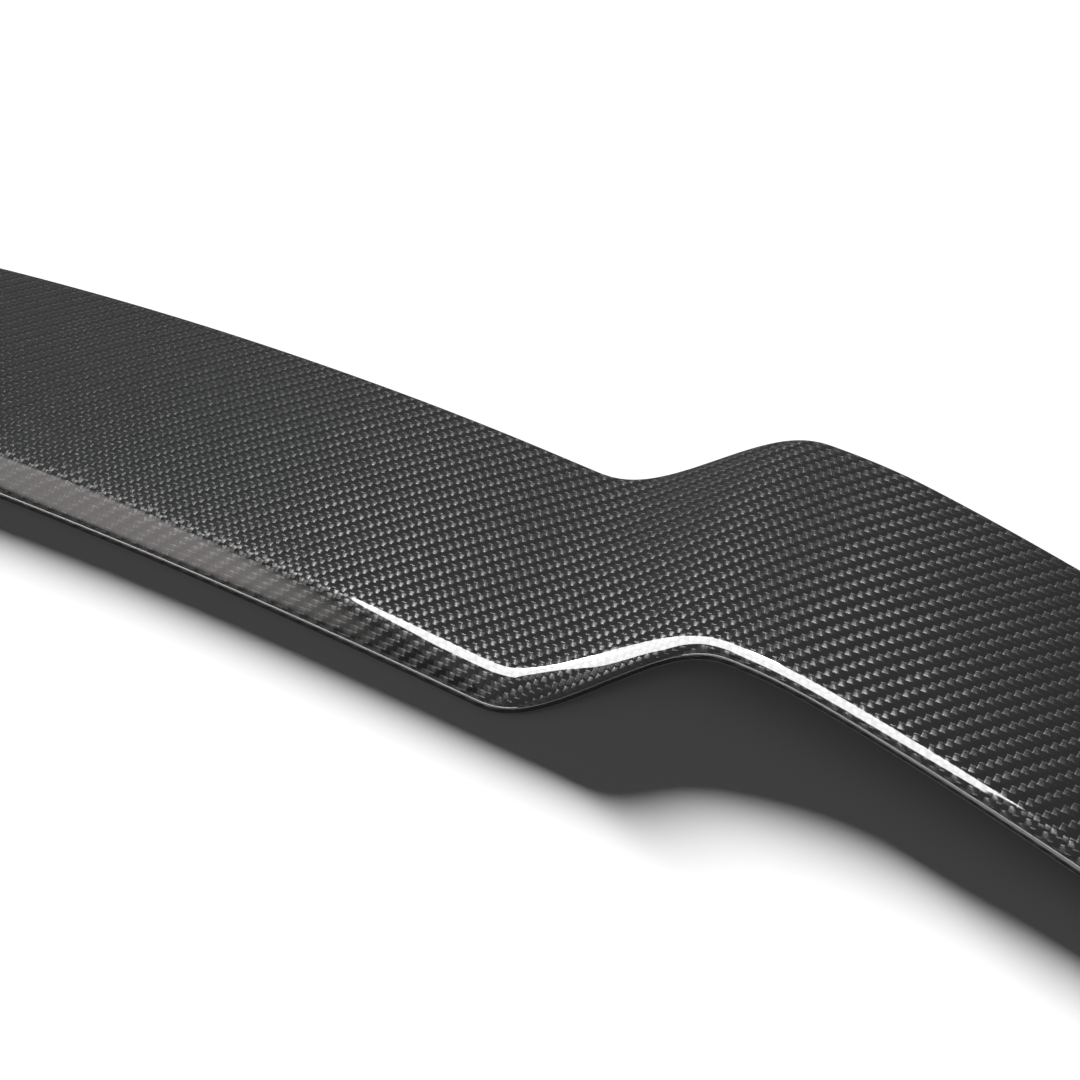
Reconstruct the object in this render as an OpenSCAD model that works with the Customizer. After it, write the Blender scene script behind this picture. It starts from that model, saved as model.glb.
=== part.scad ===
// Rear spoiler blade for a car's boot lid: one moulded laminate, all in one piece.
// Its nose lies flush on the panel, its skin climbs to a bevelled lip, and on each side
// the low middle steps up into a shoulder that dies away again towards the tip.
// X runs across the car from the centre line, Y from the lip's foot to the nose,
// Z up from the panel. The origin is on the panel at the middle of the lip's foot.

/* [Plan] */
// Overall width, tip to tip
span = 1240; // [1180:10:1320]
// Chord on the centre line, from the lip's foot to the nose
chord = 110; // [98:1:125]
// Radius of the lip's sweep across the car
lip_sweep_r = 3700; // [2800:50:6000]
// Radius of the nose's sweep across the car
nose_sweep_r = 2120; // [1800:20:3600]
// Length of the rounded tip at each end
tip_len = 110; // [80:5:140]
// Chord left at the end of each tip, before the nose's corner is rounded
tip_chord = 18; // [14:1:30]
// Radius of the nose's corner at each tip
tip_corner_r = 12; // [4:1:12]

/* [Shoulders] */
// Distance from the centre line at which the lip leaves its sweep
lip_kink_from = 218; // [190:1:235]
// Distance from the centre line at which the lip's step ends
lip_kink_to = 298; // [280:1:330]
// How far the lip steps towards the nose
lip_kink_step = 47.5; // [20:0.5:52]
// Distance from the centre line at which the nose leaves its sweep
nose_kink_from = 198; // [170:1:215]
// Distance from the centre line at which the nose's step ends
nose_kink_to = 279; // [260:1:320]
// How far the nose steps away from the lip
nose_kink_step = 46; // [20:0.5:55]
// Rake of the lip outboard of the shoulder, in degrees
lip_rake = 6.7; // [0:0.1:9]
// Rake of the nose outboard of the shoulder, in degrees
nose_rake = 4.9; // [0:0.1:8]
// Height that the skin gains on the shoulder
skin_rise = 7; // [0:0.5:12]
// Distance from the centre line at which the skin starts to rise, at the lip
rise_from_lip = 244; // [225:1:260]
// Distance from the centre line at which the skin starts to rise, at the nose
rise_from_nose = 200; // [185:1:220]
// Distance from the centre line of the shoulder's crest
crest_at = 320; // [300:1:350]
// Height that the lip's foot gains on the shoulder
foot_rise = 11.6; // [0:0.2:14]
// Distance from the centre line at which the lip's foot starts to rise
foot_rise_from = 215; // [200:1:240]
// Length before the tip over which the blade lies flat on the panel again
flat_run = 20; // [0:5:60]
// Depth of the valley at the foot of each shoulder
valley_dip = 0.6; // [0:0.1:1]

/* [Section] */
// Thickness of the laminate
wall = 2.6; // [2:0.1:3]
// Climb of the skin where it leaves the nose, in degrees
nose_climb = 7.4; // [6:0.1:9]
// Radius of the skin's camber from nose to lip
camber_r = 900; // [750:10:1400]
// Width of the bevel on the centre line
bevel_mid = 12.8; // [9:0.2:16]
// Width of the bevel where the shoulder starts
bevel_kink = 11.2; // [8:0.2:14]
// Width of the bevel outboard of the shoulder
bevel_out = 4.4; // [3.4:0.2:8]
// How much the bevel bows outwards, as a change of slope
bevel_bow = 0.15; // [0:0.01:0.2]
// Softness of the crease between skin and bevel
crease_soft = 0.8; // [0.2:0.1:1.2]
// Height of the upright edge under the bevel
lip_edge = 3; // [2.6:0.1:4]
// Radius that rolls the bevel into the upright edge
lip_roll = 1.6; // [0.8:0.1:1.8]
// Radius on the nose's upper edge
nose_roll = 0.9; // [0.4:0.1:1.1]

/* [Underside] */
// Width of the land on which the lip's foot is bonded
foot_land = 4; // [3:0.5:8]
// Width of the land on which the nose is bonded
nose_land = 10; // [6:1:16]
// Run of the slope from each land up into the recess
land_slope = 2; // [1:0.5:4]
// Length over which the recess closes before the rounded tip
recess_close = 50; // [30:5:80]

/* [Hidden] */
half = span / 2;
tip_from = half - tip_len;
flat_from = half - flat_run;
corner_soft = 15;
valley_w = 45;
// Steps along the blade: in the middle, over the shoulder's step, outboard and round the tip
mid_step = 22;
kink_step = 5.5;
out_step = 10;
tip_steps = 14;

// An even ease from 0 to 1, level at both ends
function ease(u) =
    let (v = min(1, max(0, u)))
    v * v * v * (10 - 15 * v + 6 * v * v);

// Rises from 0 at a to 1 at b and is back at 0 at c
function hump(s, a, b, c) = ease((s - a) / (b - a)) - ease((s - b) / (c - b));

// Zero on one side of a corner and d on the other, rounded between
function bend(d) = (d + sqrt(d * d + corner_soft * corner_soft)) / 2;

// The lower of two heights, with a soft crease where they cross
function soft_min(a, b) = (a + b - sqrt((a - b) * (a - b) + crease_soft * crease_soft)) / 2;

// Height that a rolled edge of radius r loses at distance d from it
function rolled(d, r) = d >= r ? 0 : r - sqrt(r * r - (r - max(0, d)) * (r - max(0, d)));

// Plan lines at distance s from the centre line, before the tips are rounded
function lip_line(s) =
    lip_kink_step * ease((s - lip_kink_from) / (lip_kink_to - lip_kink_from))
    - s * s / (2 * lip_sweep_r)
    - tan(lip_rake) * (bend(s - crest_at) - bend(-crest_at));
function nose_line(s) =
    chord + nose_kink_step * ease((s - nose_kink_from) / (nose_kink_to - nose_kink_from))
    - s * s / (2 * nose_sweep_r)
    - tan(nose_rake) * (bend(s - nose_kink_to - 29) - bend(-nose_kink_to - 29));

// The nose in plan: its line, with the corner rounded at the tip
function nose_y(s) =
    let (u = min(1, max(0, (s - half + tip_corner_r) / tip_corner_r)))
    nose_line(s) - tip_corner_r * (1 - sqrt(1 - u * u));

// The lip's foot in plan: its line, then a quarter of an ellipse round to the tip's end
tip_depth = nose_line(half) - lip_line(half) - tip_chord;
function lip_y(s) =
    let (u = min(1, max(0, (s - tip_from) / tip_len)))
    lip_line(s) + tip_depth * (1 - sqrt(1 - u * u));

// Cosine of the angle between the lip's foot and the X axis
function lip_cos(s) =
    let (g = (lip_y(s) - lip_y(s - 0.2)) / 0.2)
    1 / sqrt(1 + g * g);

// Height of the lip's foot and of the nose above the panel
function foot_z(s) = foot_rise * hump(s, foot_rise_from, crest_at, flat_from);
function nose_z(s) = skin_rise * hump(s, rise_from_nose, crest_at, flat_from);

// Distance from the centre line at which the skin starts to rise, on a slant from lip to nose
function rise_from(y) = rise_from_lip + (rise_from_nose - rise_from_lip) * y / chord;

// Upper skin: climbs from the nose with a camber, plus the shoulder, less the valley
function skin(s, y) =
    let (t = nose_y(s) - y, a = rise_from(y), v = (s - a) / valley_w)
    wall + tan(nose_climb) * t - t * t / (2 * camber_r)
    + skin_rise * hump(s, a, crest_at, flat_from) - valley_dip * exp(-v * v);

// Width of the bevel, which narrows along the blade
function bevel_w(s) =
    let (w = bevel_mid - (bevel_mid - bevel_kink) * s / lip_kink_from)
    w + (bevel_out - w) * ease((s - lip_kink_from) / (lip_kink_to - lip_kink_from));

// Top of the section at y: skin or bevel, whichever is lower, with both edges rolled
function top_z(s, y) =
    let (
        c = lip_cos(s),
        run = nose_y(s) - lip_y(s),
        d = (y - lip_y(s)) * c,
        w = min(bevel_w(s), 0.6 * run * c),
        ze = foot_z(s) + lip_edge,
        zc = skin(s, lip_y(s) + w / c),
        m = max(0.05, (zc - ze) / w),
        bow = min(bevel_bow, m / 2),
        bevel = d < w ? ze + (m + bow) * d - bow * d * d / w : zc + (m - bow) * (d - w)
    )
    soft_min(skin(s, y), bevel) - rolled(d, lip_roll) - rolled(nose_y(s) - y, nose_roll);

// Underside: the bonding plane, and the recess one laminate below the skin
function land_z(s, y) =
    let (v = (y - lip_y(s)) / (nose_y(s) - lip_y(s)))
    foot_z(s) + (nose_z(s) - foot_z(s)) * v;
function recess_z(s, y) =
    let (q = 1 - ease((s - tip_from + recess_close) / recess_close), f = land_z(s, y))
    f + q * max(0, top_z(s, y) - wall - f);

// One section at distance s, as [y, z] points: over the top to the nose and back below
function section(s) =
    let (
        a = lip_y(s),
        b = nose_y(s),
        run = b - a,
        w = bevel_w(s),
        g = min(1 / lip_cos(s), run / (2 * (w + 4))),
        k = min(1, run / (4 * nose_land)),
        near = [0, lip_roll / 6, lip_roll / 2, lip_roll, w * 0.4, w * 0.7, w - 1, w + 0.5, w + 2, w + 4],
        far = [nose_roll, nose_roll / 3, 0],
        y0 = a + g * near[9],
        y1 = b - far[0],
        top = concat(
            [for (d = near) a + g * d],
            [for (i = [1:6]) y0 + (y1 - y0) * i / 7],
            [for (d = far) b - d]
        ),
        u0 = a + k * (foot_land + land_slope),
        u1 = b - k * (nose_land + land_slope),
        low = [for (i = [0:7]) u1 + (u0 - u1) * i / 7]
    )
    concat(
        [for (y = top) [y, top_z(s, y)]],
        [[b, nose_z(s)], [b - k * nose_land, land_z(s, b - k * nose_land)]],
        [for (y = low) [y, recess_z(s, y)]],
        [[a + k * foot_land, land_z(s, a + k * foot_land)], [a, foot_z(s)]]
    );

// Distances from the centre line at which a section is drawn, from the middle outwards
function steps(from, to, step) =
    let (n = ceil((to - from) / step))
    [for (i = [1:n]) from + (to - from) * i / n];
kink_in = min(nose_kink_from, rise_from_nose) - 6;
stations = concat(
    steps(0, kink_in, mid_step),
    steps(kink_in, crest_at + 10, kink_step),
    steps(crest_at + 10, tip_from, out_step),
    [for (i = [1:tip_steps]) tip_from + tip_len * sin(90 * i / tip_steps)]
);
count = len(stations);
over_count = 19;
xs = concat([for (i = [count - 1:-1:0]) -stations[i]], [0], stations);

// A solid skinned over rings of points that all run alike: the first "over" points of a ring
// are its top, from lip to nose, and the rest its underside, back from nose to lip
module skinned(rings, over) {
    n = len(rings[0]);
    m = len(rings);
    under = n - over;
    points = [for (ring = rings) each ring];
    sides = [for (i = [0:m - 2]) for (j = [0:n - 1])
        let (p = i * n + j, q = i * n + (j + 1) % n)
        each [[p, q, q + n], [p, q + n, p + n]]];
    cap = [for (j = [0:over - 2])
        let (
            k = floor(j * (under - 1) / (over - 1)),
            l = floor((j + 1) * (under - 1) / (over - 1))
        )
        each l > k
            ? [[j, j + 1, n - 1 - l], [j, n - 1 - l, n - 1 - k]]
            : [[j, j + 1, n - 1 - l]]];
    first = [for (t = cap) [t[2], t[1], t[0]]];
    last = [for (t = cap) [for (v = t) v + (m - 1) * n]];
    polyhedron(points = points, faces = concat(sides, first, last), convexity = 4);
}

// The whole blade, a single laminate with its clear-coated face upwards
module spoiler_blade() {
    color("#3a3a3c")
    skinned([for (x = xs) [for (p = section(abs(x))) [x, p[0], p[1]]]], over_count);
}

spoiler_blade();
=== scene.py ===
"""The looks of a car's rear spoiler blade: a glossy twill laminate on a white studio floor."""
import math

import bpy
import numpy as np
from mathutils import Matrix, Vector


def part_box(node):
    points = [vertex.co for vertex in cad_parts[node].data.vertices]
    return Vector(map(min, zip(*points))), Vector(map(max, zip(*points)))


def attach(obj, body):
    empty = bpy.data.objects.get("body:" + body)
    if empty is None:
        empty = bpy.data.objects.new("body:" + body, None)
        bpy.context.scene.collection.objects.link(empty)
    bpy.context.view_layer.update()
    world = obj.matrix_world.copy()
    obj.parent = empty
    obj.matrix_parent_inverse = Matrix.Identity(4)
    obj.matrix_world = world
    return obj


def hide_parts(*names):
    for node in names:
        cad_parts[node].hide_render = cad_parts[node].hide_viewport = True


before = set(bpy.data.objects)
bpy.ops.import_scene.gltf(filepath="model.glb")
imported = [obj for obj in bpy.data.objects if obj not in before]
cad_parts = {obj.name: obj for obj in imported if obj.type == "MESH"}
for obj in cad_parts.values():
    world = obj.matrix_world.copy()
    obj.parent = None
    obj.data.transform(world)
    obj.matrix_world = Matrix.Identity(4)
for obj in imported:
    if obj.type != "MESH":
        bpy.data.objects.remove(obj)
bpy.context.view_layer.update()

# The camera stands at the blade's right, above the lip, and looks back along the blade,
# rolled so that the blade falls away to the lower right. Its place was worked out from the weave.
CAMERA_AT = (0.5954, -0.3097, 0.5345)
CAMERA_RIGHT = (0.807434, 0.549588, -0.214486)
CAMERA_UP = (-0.279257, 0.676297, 0.681643)
FOCAL_LENGTH_MM, SENSOR_MM = 72.55, 36.0

view = bpy.data.cameras.new("view")
view.lens = FOCAL_LENGTH_MM
view.sensor_width = SENSOR_MM
view.clip_start = 0.01
right, up = Vector(CAMERA_RIGHT), Vector(CAMERA_UP)
camera = bpy.data.objects.new("camera", view)
turn = Matrix((right, up, right.cross(up))).transposed().to_4x4()
camera.matrix_world = Matrix.Translation(CAMERA_AT) @ turn
bpy.context.scene.collection.objects.link(camera)
bpy.context.scene.camera = camera
bpy.context.scene.view_settings.view_transform = "Standard"

# The studio: a softbox overhead, which draws the line along the crease, with a small bright lamp
# under it for the cloth, a dim softbox at the left for the lip, a strip in front for its rolled
# edge, and a plain grey room whose backdrop shows as white.
KEY_HEIGHT, KEY_STRENGTH = 0.90, 7.2
KEY_BACK_LEFT, KEY_BACK_RIGHT = (-0.54, 0.43), (0.13, 0.31)
KEY_FRONT_LEFT, KEY_FRONT_RIGHT = (-0.43, -0.20), (-0.03, -0.20)
SIDE_MIDDLE, SIDE_REACH, SIDE_HEIGHT = (-0.86, -0.28), (0.36, 0.54), 0.85
SIDE_STRENGTH, SIDE_COLOUR = 1.15, (1.0, 0.95, 0.92, 1.0)
SIDE_FULL_TO = 0.5
SPOT_AT, SPOT_AIM = (-0.22, 0.30, 0.89), (-0.22, 0.30, 0.0)
SPOT_SIZE, SPOT_STRENGTH = (0.13, 0.16), 80.0
FRONT_AT, FRONT_AIM = (-0.25, -1.10, 0.12), (0.1, 0.0, 0.0)
FRONT_SIZE, FRONT_STRENGTH = (1.4, 0.10), 5.0
ROOM_LIGHT, BACKDROP_WHITE = 0.13, 1.0


def softbox(name, corners, strength):
    """A glowing cloth with four corners, which no camera sees; returns it with its glow's nodes."""
    mesh = bpy.data.meshes.new(name)
    mesh.from_pydata(corners, [], [(0, 1, 2, 3)])
    holder = bpy.data.objects.new(name, mesh)
    holder.visible_camera = False
    bpy.context.scene.collection.objects.link(holder)
    glow = bpy.data.materials.new(name + "_glow")
    glow.use_nodes = True
    glow.node_tree.nodes.clear()
    cloth = glow.node_tree.nodes.new("ShaderNodeEmission")
    cloth.inputs["Strength"].default_value = strength
    glow_out = glow.node_tree.nodes.new("ShaderNodeOutputMaterial")
    glow.node_tree.links.new(cloth.outputs[0], glow_out.inputs["Surface"])
    mesh.materials.append(glow)
    return holder, glow.node_tree, cloth


key_plan = (KEY_BACK_LEFT, KEY_BACK_RIGHT, KEY_FRONT_RIGHT, KEY_FRONT_LEFT)
key_corners = [(x, y, KEY_HEIGHT) for x, y in key_plan]
key_softbox = softbox("key_softbox", key_corners, KEY_STRENGTH)[0]

# The side softbox is evenly bright to half its reach, and fades out to its rim.
reach_x, reach_y = SIDE_REACH
side_corners = [
    (SIDE_MIDDLE[0] + x * reach_x, SIDE_MIDDLE[1] + y * reach_y, SIDE_HEIGHT)
    for x, y in ((-1, 1), (1, 1), (1, -1), (-1, -1))
]
side_softbox, side_nodes, side_cloth = softbox("side_softbox", side_corners, SIDE_STRENGTH)
side_cloth.inputs["Color"].default_value = SIDE_COLOUR
place = side_nodes.nodes.new("ShaderNodeTexCoord")
from_middle = side_nodes.nodes.new("ShaderNodeMapping")
from_middle.vector_type = "TEXTURE"
from_middle.inputs["Location"].default_value = (SIDE_MIDDLE[0], SIDE_MIDDLE[1], SIDE_HEIGHT)
from_middle.inputs["Scale"].default_value = (reach_x, reach_y, 1.0)
side_nodes.links.new(place.outputs["Object"], from_middle.inputs["Vector"])
far_off = side_nodes.nodes.new("ShaderNodeVectorMath")
far_off.operation = "LENGTH"
side_nodes.links.new(from_middle.outputs["Vector"], far_off.inputs[0])
fade = side_nodes.nodes.new("ShaderNodeMapRange")
fade.interpolation_type = "SMOOTHSTEP"
fade.inputs["From Min"].default_value = SIDE_FULL_TO
fade.inputs["To Min"].default_value = SIDE_STRENGTH
fade.inputs["To Max"].default_value = 0.0
side_nodes.links.new(far_off.outputs["Value"], fade.inputs["Value"])
side_nodes.links.new(fade.outputs["Result"], side_cloth.inputs["Strength"])


def lamp_panel(name, at, aim, size, strength):
    """A plain rectangular lamp whose face is as bright as a white of this strength."""
    lamp = bpy.data.lights.new(name, "AREA")
    lamp.shape = "RECTANGLE"
    lamp.size, lamp.size_y = size
    lamp.energy = strength * size[0] * size[1] * math.pi
    holder = bpy.data.objects.new(name, lamp)
    away = Vector(at) - Vector(aim)
    holder.matrix_world = Matrix.Translation(at) @ away.to_track_quat("Z", "Y").to_matrix().to_4x4()
    holder.visible_camera = False
    bpy.context.scene.collection.objects.link(holder)
    return holder


cloth_spot = lamp_panel("cloth_spot", SPOT_AT, SPOT_AIM, SPOT_SIZE, SPOT_STRENGTH)
front_strip = lamp_panel("front_strip", FRONT_AT, FRONT_AIM, FRONT_SIZE, FRONT_STRENGTH)

room = bpy.data.worlds.new("room")
room.use_nodes = True
bpy.context.scene.world = room
nodes, links = room.node_tree.nodes, room.node_tree.links
backdrop = nodes["Background"]
sight = nodes.new("ShaderNodeLightPath")
room_strength = nodes.new("ShaderNodeMix")
room_strength.inputs["A"].default_value = ROOM_LIGHT
room_strength.inputs["B"].default_value = BACKDROP_WHITE
backdrop.inputs["Color"].default_value = (1.0, 1.0, 1.0, 1.0)
links.new(sight.outputs["Is Camera Ray"], room_strength.inputs["Factor"])
links.new(room_strength.outputs["Result"], backdrop.inputs["Strength"])

# The floor is a plain matt board. It has a lamp of its own, low at the left and behind the blade,
# that lights it to white and leaves the blade's soft shadow in front. That lamp lights nothing
# else, and the studio's other lamps leave the floor out.
FLOOR_SIZE = 6.0
FLOOR_COLOUR, FLOOR_WHITE, SHADOW_LIFT = 0.30, 1.1, 0.015
SUN_FROM, SUN_SPREAD = (-2.2, 1.0, 0.29), 0.09

edge = FLOOR_SIZE / 2
floor_corners = [(-edge, -edge, 0), (edge, -edge, 0), (edge, edge, 0), (-edge, edge, 0)]
floor_mesh = bpy.data.meshes.new("floor")
floor_mesh.from_pydata(floor_corners, [], [(0, 1, 2, 3)])
floor = bpy.data.objects.new("floor", floor_mesh)
bpy.context.scene.collection.objects.link(floor)
board = bpy.data.materials.new("floor_board")
board.use_nodes = True
nodes, links = board.node_tree.nodes, board.node_tree.links
nodes.clear()
matt = nodes.new("ShaderNodeBsdfDiffuse")
matt.inputs["Color"].default_value = (FLOOR_COLOUR, FLOOR_COLOUR, FLOOR_COLOUR, 1.0)
lift = nodes.new("ShaderNodeEmission")
lift.inputs["Strength"].default_value = SHADOW_LIFT
both = nodes.new("ShaderNodeAddShader")
board_out = nodes.new("ShaderNodeOutputMaterial")
links.new(matt.outputs[0], both.inputs[0])
links.new(lift.outputs[0], both.inputs[1])
links.new(both.outputs[0], board_out.inputs["Surface"])
floor_mesh.materials.append(board)

sun_way = Vector(SUN_FROM).normalized()
sun_lamp = bpy.data.lights.new("floor_sun", "SUN")
sun_lamp.angle = SUN_SPREAD
sun_lamp.energy = FLOOR_WHITE * math.pi / (FLOOR_COLOUR * sun_way.z)
floor_sun = bpy.data.objects.new("floor_sun", sun_lamp)
floor_sun.matrix_world = sun_way.to_track_quat("Z", "Y").to_matrix().to_4x4()
bpy.context.scene.collection.objects.link(floor_sun)
floor_only = bpy.data.collections.new("floor_only")
floor_only.objects.link(floor)
floor_sun.light_linking.receiver_collection = floor_only
all_but_floor = bpy.data.collections.new("all_but_floor")
all_but_floor.objects.link(floor)
all_but_floor.collection_objects[0].light_linking.link_state = "EXCLUDE"
for studio_lamp in (key_softbox, side_softbox, cloth_spot, front_strip):
    studio_lamp.light_linking.receiver_collection = all_but_floor

# The blade: one moulded laminate of 2x2 twill cloth under a thick, polished clear coat.
# The skin climbs from the nose to a soft crease, a bevel falls from there to an upright edge,
# and the shoulders step up on both sides. It is bonded down along the foot and the nose.
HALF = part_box("spoiler_blade")[1][0]
CHORD = 0.110
TIP_LEN, TIP_CHORD, TIP_CORNER_R = 0.110, 0.018, 0.012
LIP_SWEEP_R, NOSE_SWEEP_R = 3.70, 2.12
LIP_KINK, LIP_KINK_STEP = (0.218, 0.298), 0.0475
NOSE_KINK, NOSE_KINK_STEP = (0.198, 0.279), 0.046
LIP_RAKE, NOSE_RAKE = math.tan(math.radians(6.7)), math.tan(math.radians(4.9))
NOSE_RAKE_PAST, CORNER_SOFT = 0.029, 0.015
CREST_AT, FLAT_FROM = 0.320, HALF - 0.020
SKIN_RISE, RISE_FROM_LIP, RISE_FROM_NOSE = 0.007, 0.244, 0.200
FOOT_RISE, FOOT_RISE_FROM = 0.0116, 0.215
VALLEY_DIP, VALLEY_W = 0.0006, 0.045
WALL, CAMBER_R, NOSE_CLIMB = 0.0026, 0.90, math.tan(math.radians(7.4))
BEVEL_MID, BEVEL_KINK, BEVEL_OUT, BEVEL_BOW = 0.0128, 0.0112, 0.0044, 0.15
BEVEL_SHARE, LEAST_SLOPE = 0.6, 0.05
CREASE_SOFT, LIP_EDGE, LIP_ROLL, NOSE_ROLL = 0.0008, 0.003, 0.0016, 0.0009
FOOT_LAND, NOSE_LAND, LAND_SLOPE, RECESS_CLOSE = 0.004, 0.010, 0.002, 0.050


def ease(u):
    """An even ease from 0 to 1, level at both ends."""
    v = np.clip(u, 0.0, 1.0)
    return v ** 3 * (10.0 - 15.0 * v + 6.0 * v * v)


def hump(s, start, crest, end):
    """Rises from 0 to 1 at the crest and is back at 0 at the end."""
    return ease((s - start) / (crest - start)) - ease((s - crest) / (end - crest))


def bend(d):
    """Zero on one side of a corner and d on the other, rounded between."""
    return (d + np.sqrt(d * d + CORNER_SOFT ** 2)) / 2


def rolled(d, r):
    """Height that a rolled edge of radius r loses at distance d from it."""
    short = np.clip(r - np.maximum(d, 0.0), 0.0, r)
    return r - np.sqrt(r * r - short * short)


def lip_line(s):
    """The lip's line in plan, at distance s from the centre line, before the tip is shaped."""
    step = LIP_KINK_STEP * ease((s - LIP_KINK[0]) / (LIP_KINK[1] - LIP_KINK[0]))
    return step - s * s / (2 * LIP_SWEEP_R) - LIP_RAKE * (bend(s - CREST_AT) - bend(-CREST_AT))


def nose_line(s):
    """The nose's line in plan, before the tip is shaped."""
    step = NOSE_KINK_STEP * ease((s - NOSE_KINK[0]) / (NOSE_KINK[1] - NOSE_KINK[0]))
    turn_at = NOSE_KINK[1] + NOSE_RAKE_PAST
    return CHORD + step - s * s / (2 * NOSE_SWEEP_R) - NOSE_RAKE * (bend(s - turn_at) - bend(-turn_at))


def nose_y(s):
    """The nose's line with the small rounded corner of the tip."""
    u = np.clip((s - HALF + TIP_CORNER_R) / TIP_CORNER_R, 0.0, 1.0)
    return nose_line(s) - TIP_CORNER_R * (1 - np.sqrt(1 - u * u))


def lip_y(s):
    """The lip's line, which swings forward to a narrow end at the tip."""
    depth = nose_line(HALF) - lip_line(HALF) - TIP_CHORD
    u = np.clip((s - HALF + TIP_LEN) / TIP_LEN, 0.0, 1.0)
    return lip_line(s) + depth * (1 - np.sqrt(1 - u * u))


def foot_z(s):
    """Height of the lip's foot, which lifts at the shoulder."""
    return FOOT_RISE * hump(s, FOOT_RISE_FROM, CREST_AT, FLAT_FROM)


def nose_z(s):
    """Height of the nose's lower edge."""
    return SKIN_RISE * hump(s, RISE_FROM_NOSE, CREST_AT, FLAT_FROM)


def skin(s, y):
    """Height of the skin, which climbs from the nose, with the shoulder and its valley."""
    t = nose_y(s) - y
    start = RISE_FROM_LIP + (RISE_FROM_NOSE - RISE_FROM_LIP) * y / CHORD
    rise = SKIN_RISE * hump(s, start, CREST_AT, FLAT_FROM)
    valley = VALLEY_DIP * np.exp(-((s - start) / VALLEY_W) ** 2)
    return WALL + NOSE_CLIMB * t - t * t / (2 * CAMBER_R) + rise - valley


def bevel_w(s):
    """Width of the bevel, which narrows most over the kink of the lip."""
    w = BEVEL_MID - (BEVEL_MID - BEVEL_KINK) * s / LIP_KINK[0]
    return w + (BEVEL_OUT - w) * ease((s - LIP_KINK[0]) / (LIP_KINK[1] - LIP_KINK[0]))


def lip_cos(s):
    """Cosine of the lip's slant in plan, taken over a fifth of a millimetre."""
    short = 0.0002
    slope = (lip_y(s) - lip_y(s - short)) / short
    return 1 / np.sqrt(1 + slope * slope)


def top_z(s, y):
    """Height of the clear-coated face: skin or bevel, whichever is lower, with rolled edges."""
    c = lip_cos(s)
    d = (y - lip_y(s)) * c
    w = np.minimum(bevel_w(s), BEVEL_SHARE * (nose_y(s) - lip_y(s)) * c)
    low = foot_z(s) + LIP_EDGE
    high = skin(s, lip_y(s) + w / c)
    mean = np.maximum(LEAST_SLOPE, (high - low) / w)
    bow = np.minimum(BEVEL_BOW, mean / 2)
    bevel = np.where(d < w, low + (mean + bow) * d - bow * d * d / w, high + (mean - bow) * (d - w))
    flat = skin(s, y)
    crease = (flat + bevel - np.sqrt((flat - bevel) ** 2 + CREASE_SOFT ** 2)) / 2
    return crease - rolled(d, LIP_ROLL) - rolled(nose_y(s) - y, NOSE_ROLL)


def land_z(s, y):
    """Height of the flat lands below, straight across from the lip's foot to the nose."""
    return foot_z(s) + (nose_z(s) - foot_z(s)) * (y - lip_y(s)) / (nose_y(s) - lip_y(s))


def recess_z(s, y):
    """Height of the underside: one laminate below the face, closing before the tips."""
    q = 1 - ease((s - (HALF - TIP_LEN) + RECESS_CLOSE) / RECESS_CLOSE)
    land = land_z(s, y)
    return land + q * np.maximum(0.0, top_z(s, y) - WALL - land)


# A ring's points stand close over the rolled edges, and from CREASE_NEAR before the crease to
# CREASE_FAR past it. Where the blade is narrow, they draw in. The lip's upright edge has one at
# each of UPRIGHT_SHARES of its height, and the nose's edge has NOSE_UPRIGHT.
CREASE_NEAR, CREASE_FAR, CREASE_ROOM = 0.0025, 0.0035, 0.006
ROLL_POINTS, BEVEL_POINTS, CREASE_POINTS, SKIN_POINTS, NOSE_POINTS, RECESS_POINTS = 9, 9, 25, 30, 7, 16
UPRIGHT_SHARES = np.array([0.0, 0.2, 0.45, 0.7])
UPRIGHT, NOSE_UPRIGHT = len(UPRIGHT_SHARES), 2


def blade_section(s):
    """One ring of the blade at distance s: (y, z) over the face to the nose and back below."""
    lip, nose, w = lip_y(s), nose_y(s), bevel_w(s)
    run = nose - lip
    stretch = min(1 / lip_cos(s), run / (2 * (w + CREASE_ROOM)))
    roll = LIP_ROLL * (1 - np.cos(np.linspace(0, np.pi / 2, ROLL_POINTS)))
    bevel = np.linspace(LIP_ROLL, w - CREASE_NEAR, BEVEL_POINTS)[1:]
    crease = np.linspace(w - CREASE_NEAR, w + CREASE_FAR, CREASE_POINTS)[1:]
    near = lip + stretch * np.concatenate([roll, bevel, crease])
    far = nose - NOSE_ROLL * (1 - np.cos(np.linspace(np.pi / 2, 0, NOSE_POINTS)))
    face = np.concatenate([near, np.linspace(near[-1], far[0], SKIN_POINTS)[1:-1], far])
    over = np.column_stack([face, top_z(s, face)])
    ends = np.array([[nose, (nose_z(s) + over[-1, 1]) / 2], [nose, nose_z(s)]])
    narrow = min(1.0, run / (4 * NOSE_LAND))
    inner = lip + narrow * (FOOT_LAND + LAND_SLOPE)
    outer = nose - narrow * (NOSE_LAND + LAND_SLOPE)
    recess = np.linspace(outer, inner, RECESS_POINTS)
    under = np.concatenate([[nose - narrow * NOSE_LAND], recess, [lip + narrow * FOOT_LAND]])
    z_under = np.concatenate([[land_z(s, under[0])], recess_z(s, recess), [land_z(s, under[-1])]])
    upright_z = foot_z(s) + (top_z(s, lip) - foot_z(s)) * UPRIGHT_SHARES
    upright = np.column_stack([np.full(UPRIGHT, lip), upright_z])
    return np.vstack([over, ends, np.column_stack([under, z_under]), upright]), len(face)


STEP_FROM, STEP_TO = 0.180, 0.345
MIDDLE_SPACING, STEP_SPACING, OUTER_SPACING, TIP_RINGS = 0.006, 0.0015, 0.004, 40


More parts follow.
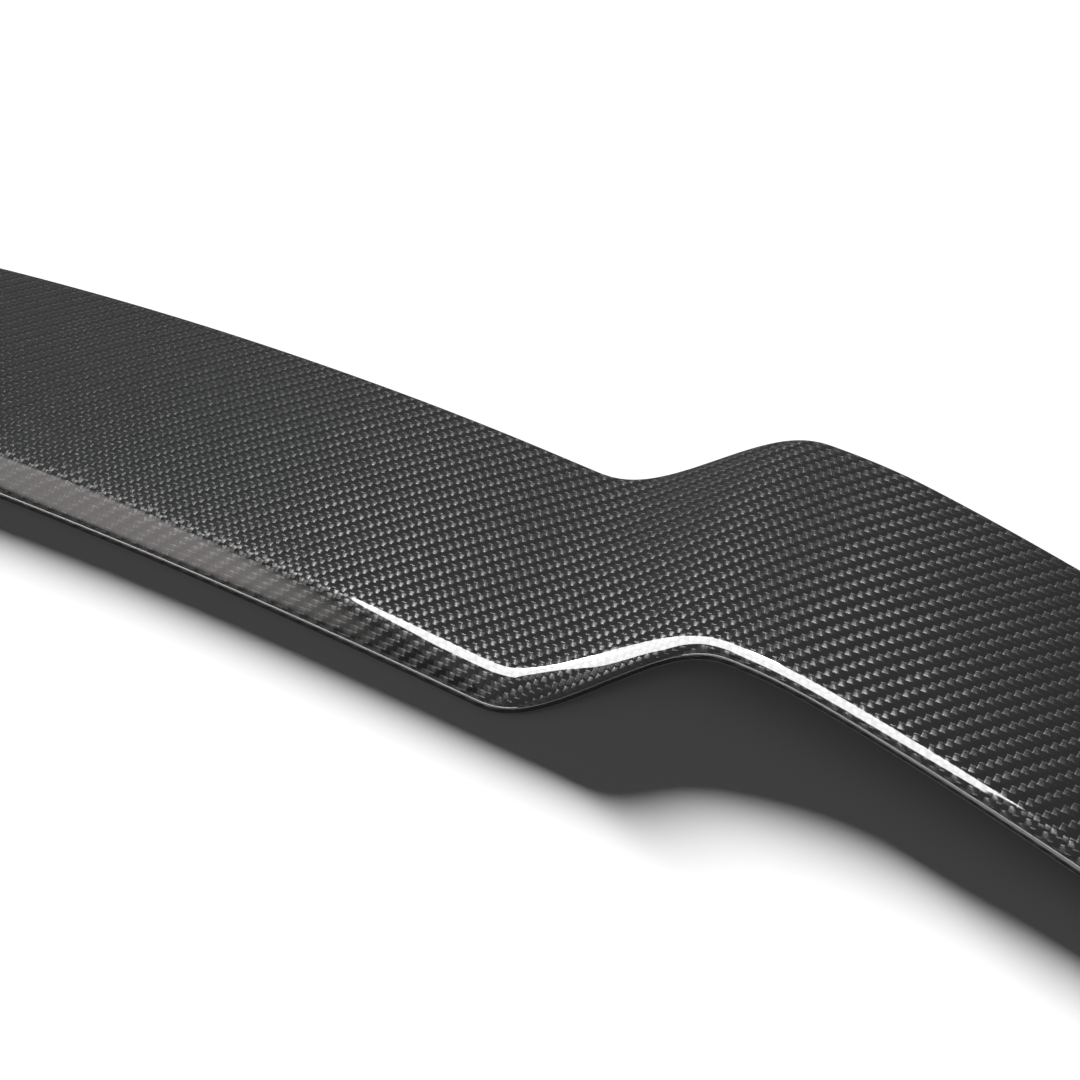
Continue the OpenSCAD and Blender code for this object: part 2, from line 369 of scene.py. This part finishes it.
def stations():
    """Distances from the centre line, closer over the shoulder's step and round the tip."""
    middle = np.arange(0.0, STEP_FROM, MIDDLE_SPACING)
    step = np.arange(STEP_FROM, STEP_TO, STEP_SPACING)
    outer = np.arange(STEP_TO, HALF - TIP_LEN, OUTER_SPACING)
    tip = HALF - TIP_LEN + TIP_LEN * np.sin(np.linspace(0, np.pi / 2, TIP_RINGS))
    right_half = np.concatenate([middle, step, outer, tip])
    return np.concatenate([-right_half[:0:-1], right_half])


# The cloth lies with its tows along the blade and along the chord, turned a little off the
# blade's axis. The map counts tows: u across the chordwise ones, v across the spanwise ones.
# The counts at the mark, one point of the skin, were read from the photograph's weave.
TOW = 0.002
CLOTH_TURN = math.radians(1.37)
CLOTH_MARK, CLOTH_MARK_AT = (-120.75, 27.92), (-0.0144, 0.0601)


def tow_counts(x, ys, zs, over):
    """u and v on the face and edges, with the cloth laid round the bends, and a flat v for below."""
    along, across = x - CLOTH_MARK_AT[0], ys - CLOTH_MARK_AT[1]
    c, s = math.cos(CLOTH_TURN), math.sin(CLOTH_TURN)
    dy, dz = np.diff(ys), np.diff(zs)
    spare = np.concatenate([[0.0], np.cumsum(np.hypot(dy, dz) - np.abs(dy))])
    spare = spare - np.interp(CLOTH_MARK_AT[1], ys[:over], spare[:over])
    below_nose = slice(over, over + NOSE_UPRIGHT)
    spare[below_nose] = spare[over - 1] + zs[over - 1] - zs[below_nose]
    spare[-UPRIGHT:] = spare[0] - zs[0] + zs[-UPRIGHT:]
    u = CLOTH_MARK[0] + (along * c + across * s) / TOW
    v = CLOTH_MARK[1] + (across * c - along * s + spare) / TOW
    return np.column_stack([u, v, v - spare / TOW])


# The third finish is the light-grey painted highlight along the foot of the lip's upright edge.
FACE_FINISH, BACK_FINISH, RIM_HIGHLIGHT_FINISH = 0, 1, 2

xs = stations()
points, tows = [], []
for x in xs:
    ring, over = blade_section(abs(x))
    points.append(np.column_stack([np.full(len(ring), x), ring]))
    tows.append(tow_counts(x, ring[:, 0], ring[:, 1], over))
ring_len = len(points[0])
foot = ring_len - UPRIGHT
points, tows = np.vstack(points), np.vstack(tows)
finish_round = [FACE_FINISH] * ring_len
finish_round[over + 1:foot] = [BACK_FINISH] * (foot - over - 1)
# The lowest strip of the upright edge takes the painted highlight.
finish_round[foot] = RIM_HIGHLIGHT_FINISH
faces, finish_of = [], []
for i in range(len(xs) - 1):
    for j in range(ring_len):
        a, b = i * ring_len + j, i * ring_len + (j + 1) % ring_len
        faces.append((a, a + ring_len, b + ring_len, b))
    finish_of += finish_round
faces.append(tuple(range(ring_len)))
faces.append(tuple(range((len(xs) - 1) * ring_len, len(xs) * ring_len))[::-1])
finish_of += [FACE_FINISH, FACE_FINISH]
blade_mesh = bpy.data.meshes.new("spoiler_blade_shell")
blade_mesh.from_pydata(points.tolist(), [], faces)
blade_mesh.polygons.foreach_set("material_index", finish_of)
cloth_map = blade_mesh.uv_layers.new(name="tows")
corner = np.empty(len(blade_mesh.loops), dtype=np.int32)
blade_mesh.loops.foreach_get("vertex_index", corner)
below = np.repeat(np.array(finish_of) == BACK_FINISH, [len(face) for face in faces])
flat_map = np.where(below[:, None], tows[corner][:, [0, 2]], tows[corner][:, :2])
cloth_map.data.foreach_set("uv", flat_map.ravel())
blade_mesh.shade_smooth()
blade = bpy.data.objects.new("spoiler_blade_shell", blade_mesh)
bpy.context.scene.collection.objects.link(blade)

# The laminate's finish: each float of a tow is a bundle of straight fibres that arches over its
# two neighbours, so it glints where its slope suits the light. The clear coat over it is smooth.
SPAN_SLOPE, SPAN_PLATEAU, SPAN_ENDS = 0.11, 4.0, 2.0
CHORD_SLOPE, CHORD_MIDDLE = 0.65, 0.05
TOW_CROWN, CROWN_MIDDLE, CROWN_POWER = 0.35, 0.2, 5.0
END_POWER, GAP_POWER, TWIST = 7.0, 14.0, 0.3
UNEVEN, DRIFT, DRIFT_SCALE = 0.05, 0.05, 0.09
STREAK, STREAKS_ACROSS, STREAKS_ALONG, STREAKS_APART = 0.35, 9.0, 0.8, 50.0
FLOAT_DARKEST, FLOAT_RANGE = 0.85, 0.3
# The spanwise tows are coloured a little lighter than the chordwise ones: a painted sheen that shows
# the weave.
SPAN_TOW_PAINTED_SHEEN = (0.016, 0.016, 0.017, 1.0)
CHORD_TOW = (0.010, 0.010, 0.011, 1.0)
GAP = (0.004, 0.004, 0.004, 1.0)

laminate = bpy.data.materials.new("laminate")
laminate.use_nodes = True
nodes, links = laminate.node_tree.nodes, laminate.node_tree.links
face_finish = nodes["Principled BSDF"]


def feed(socket, value):
    """Sets a socket to a number, or links it to another node's output."""
    if isinstance(value, (int, float)):
        socket.default_value = value
    else:
        links.new(value, socket)


def work_out(operation, *values):
    """A Math node on numbers and other nodes' outputs."""
    node = nodes.new("ShaderNodeMath")
    node.operation = operation
    for socket, value in zip(node.inputs, values):
        feed(socket, value)
    return node.outputs[0]


def blend_of(factor, a, b):
    """a where the factor is 0, b where it is 1."""
    node = nodes.new("ShaderNodeMix")
    for name, value in (("Factor", factor), ("A", a), ("B", b)):
        feed(node.inputs[name], value)
    return node.outputs["Result"]


def joined(x, y, z):
    """A vector of three numbers or outputs."""
    node = nodes.new("ShaderNodeCombineXYZ")
    for socket, value in zip(node.inputs, (x, y, z)):
        feed(socket, value)
    return node.outputs[0]


# Each place lies in one column and one row of tows. The phase, 0 to 3, counts the twill's steps,
# and the spanwise tow is on top in the first two. along and across run over one float, 0 to 1.
tow_map = nodes.new("ShaderNodeUVMap")
tow_map.uv_map = "tows"
split = nodes.new("ShaderNodeSeparateXYZ")
links.new(tow_map.outputs[0], split.inputs[0])
u, v = split.outputs[0], split.outputs[1]
column, row = work_out("FLOOR", u), work_out("FLOOR", v)
in_column, in_row = work_out("FRACT", u), work_out("FRACT", v)
phase = work_out("FLOORED_MODULO", work_out("SUBTRACT", column, row), 4.0)
phase_left = work_out("SUBTRACT", 3.0, phase)
span_up = work_out("LESS_THAN", phase, 1.5)
span_along = work_out("MULTIPLY", work_out("ADD", phase, in_column), 0.5)
chord_along = work_out("MULTIPLY", work_out("ADD", phase_left, in_row), 0.5)
along = blend_of(span_up, chord_along, span_along)
across = blend_of(span_up, in_column, in_row)

# arch and side_of run from 1 to -1 along and across the float. chance is one number, 0 to 1,
# drawn for each float.
arch = work_out("SUBTRACT", 1.0, work_out("MULTIPLY", along, 2.0))
side_of = work_out("SUBTRACT", 1.0, work_out("MULTIPLY", across, 2.0))
float_u = work_out("SUBTRACT", column, work_out("MULTIPLY", phase, span_up))
float_v = blend_of(span_up, work_out("SUBTRACT", row, phase_left), row)
chance_node = nodes.new("ShaderNodeTexWhiteNoise")
links.new(joined(float_u, float_v, span_up), chance_node.inputs["Vector"])
chance = chance_node.outputs["Value"]

# The slope along a float: chordwise ones are nearly flat and turn down at their ends. Spanwise
# ones, twisted a little, stand at one slope on each half and turn down at their ends too. Every
# float is a little off its neighbours, and the lay of the whole cloth drifts slowly.
arch_end = work_out("POWER", work_out("ABSOLUTE", arch), END_POWER)
arch_end = work_out("MULTIPLY", arch_end, work_out("SIGN", arch))
chord_middle = work_out("MULTIPLY", arch, CHORD_MIDDLE * CHORD_SLOPE)
chord_end = work_out("MULTIPLY", arch_end, (1.0 - CHORD_MIDDLE) * CHORD_SLOPE)
chord_slope = work_out("ADD", chord_middle, chord_end)
twisted = work_out("ADD", arch, work_out("MULTIPLY", side_of, TWIST))
span_half = work_out("TANH", work_out("MULTIPLY", twisted, SPAN_PLATEAU))
span_end = work_out("MULTIPLY", arch_end, SPAN_ENDS)
span_slope = work_out("MULTIPLY", work_out("ADD", span_half, span_end), SPAN_SLOPE)
uneven = work_out("MULTIPLY", work_out("SUBTRACT", chance, 0.5), UNEVEN)
lay = nodes.new("ShaderNodeTexNoise")
lay.noise_dimensions = "2D"
lay.inputs["Scale"].default_value = DRIFT_SCALE
lay.inputs["Detail"].default_value = 1.0
links.new(tow_map.outputs[0], lay.inputs["Vector"])
drift = work_out("MULTIPLY", work_out("SUBTRACT", lay.outputs["Fac"], 0.5), DRIFT)
off_true = work_out("ADD", uneven, drift)
arch_slope = work_out("ADD", blend_of(span_up, chord_slope, span_slope), off_true)

# The slope across a float, whose sides fall into the gaps, and both slopes as the map's normal.
crown = work_out("POWER", work_out("ABSOLUTE", side_of), CROWN_POWER)
crown = work_out("MULTIPLY", crown, work_out("SIGN", side_of))
crown_middle = work_out("MULTIPLY", side_of, CROWN_MIDDLE)
crown_side = work_out("MULTIPLY", crown, 1.0 - CROWN_MIDDLE)
crown_slope = work_out("MULTIPLY", work_out("ADD", crown_middle, crown_side), TOW_CROWN)
slope_u = work_out("MULTIPLY", blend_of(span_up, crown_slope, arch_slope), -1.0)
slope_v = work_out("MULTIPLY", blend_of(span_up, arch_slope, crown_slope), -1.0)
unit = nodes.new("ShaderNodeVectorMath")
unit.operation = "NORMALIZE"
links.new(joined(slope_u, slope_v, 1.0), unit.inputs[0])
coded = nodes.new("ShaderNodeVectorMath")
coded.operation = "MULTIPLY_ADD"
coded.inputs[1].default_value = (0.5, 0.5, 0.5)
coded.inputs[2].default_value = (0.5, 0.5, 0.5)
links.new(unit.outputs[0], coded.inputs[0])
tow_normal = nodes.new("ShaderNodeNormalMap")
tow_normal.uv_map = "tows"
links.new(coded.outputs[0], tow_normal.inputs["Color"])
links.new(tow_normal.outputs[0], face_finish.inputs["Normal"])

# The colour: near black, darker in the gaps, streaked along the fibres, lighter on some floats.
# The spanwise tows take the lighter colour, a painted sheen; the fibre itself is the same in both.
tow_colour_and_sheen = nodes.new("ShaderNodeMix")
tow_colour_and_sheen.data_type = "RGBA"
tow_colour_and_sheen.inputs["A"].default_value = CHORD_TOW
tow_colour_and_sheen.inputs["B"].default_value = SPAN_TOW_PAINTED_SHEEN
links.new(span_up, tow_colour_and_sheen.inputs["Factor"])
streak_x = work_out("MULTIPLY", across, STREAKS_ACROSS)
streak_y = work_out("MULTIPLY", along, STREAKS_ALONG)
streak_z = work_out("MULTIPLY", chance, STREAKS_APART)
streaks = nodes.new("ShaderNodeTexNoise")
streaks.inputs["Scale"].default_value = 1.0
streaks.inputs["Detail"].default_value = 2.0
links.new(joined(streak_x, streak_y, streak_z), streaks.inputs["Vector"])
streak = work_out("MULTIPLY", streaks.outputs["Fac"], STREAK)
streak = work_out("ADD", 1.0 - STREAK / 2, streak)
float_light = work_out("ADD", FLOAT_DARKEST, work_out("MULTIPLY", chance, FLOAT_RANGE))
streaked = nodes.new("ShaderNodeVectorMath")
streaked.operation = "SCALE"
links.new(tow_colour_and_sheen.outputs["Result"], streaked.inputs[0])
links.new(work_out("MULTIPLY", streak, float_light), streaked.inputs["Scale"])
gap = nodes.new("ShaderNodeMix")
gap.data_type = "RGBA"
links.new(work_out("POWER", work_out("ABSOLUTE", side_of), GAP_POWER), gap.inputs["Factor"])
links.new(streaked.outputs[0], gap.inputs["A"])
gap.inputs["B"].default_value = GAP
links.new(gap.outputs["Result"], face_finish.inputs["Base Color"])

# The sheen: fibres draw light out across themselves, so it is turned by a quarter on spanwise tows.
fibre_way = nodes.new("ShaderNodeTangent")
fibre_way.direction_type = "UV_MAP"
fibre_way.uv_map = "tows"
links.new(fibre_way.outputs[0], face_finish.inputs["Tangent"])
links.new(work_out("MULTIPLY", span_up, 0.25), face_finish.inputs["Anisotropic Rotation"])
face_finish.inputs["Anisotropic"].default_value = 1.0
face_finish.inputs["Roughness"].default_value = 0.26
face_finish.inputs["IOR"].default_value = 1.5
face_finish.inputs["Coat Weight"].default_value = 1.0
face_finish.inputs["Coat Roughness"].default_value = 0.03
face_finish.inputs["Coat IOR"].default_value = 2.0
blade_mesh.materials.append(laminate)

# Below, the laminate is as it left the mould's open side: dull resin over the same cloth. The lowest
# strip of the lip's upright edge is a light grey: a painted highlight along its bottom edge.
BACK_RESIN = ("laminate_back", (0.020, 0.020, 0.021, 1.0), 0.55)
RIM_PAINTED_HIGHLIGHT = ("rim_painted_highlight", (0.26, 0.26, 0.27, 1.0), 0.4)

# The dull back resin, then the light-grey painted highlight for the lip's foot.
for name, colour, roughness in (BACK_RESIN, RIM_PAINTED_HIGHLIGHT):
    resin_and_rim_highlight = bpy.data.materials.new(name)
    resin_and_rim_highlight.use_nodes = True
    resin_and_rim_highlight_finish = resin_and_rim_highlight.node_tree.nodes["Principled BSDF"]
    resin_and_rim_highlight_finish.inputs["Base Color"].default_value = colour
    resin_and_rim_highlight_finish.inputs["Roughness"].default_value = roughness
    blade_mesh.materials.append(resin_and_rim_highlight)

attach(blade, "root")
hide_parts("spoiler_blade")
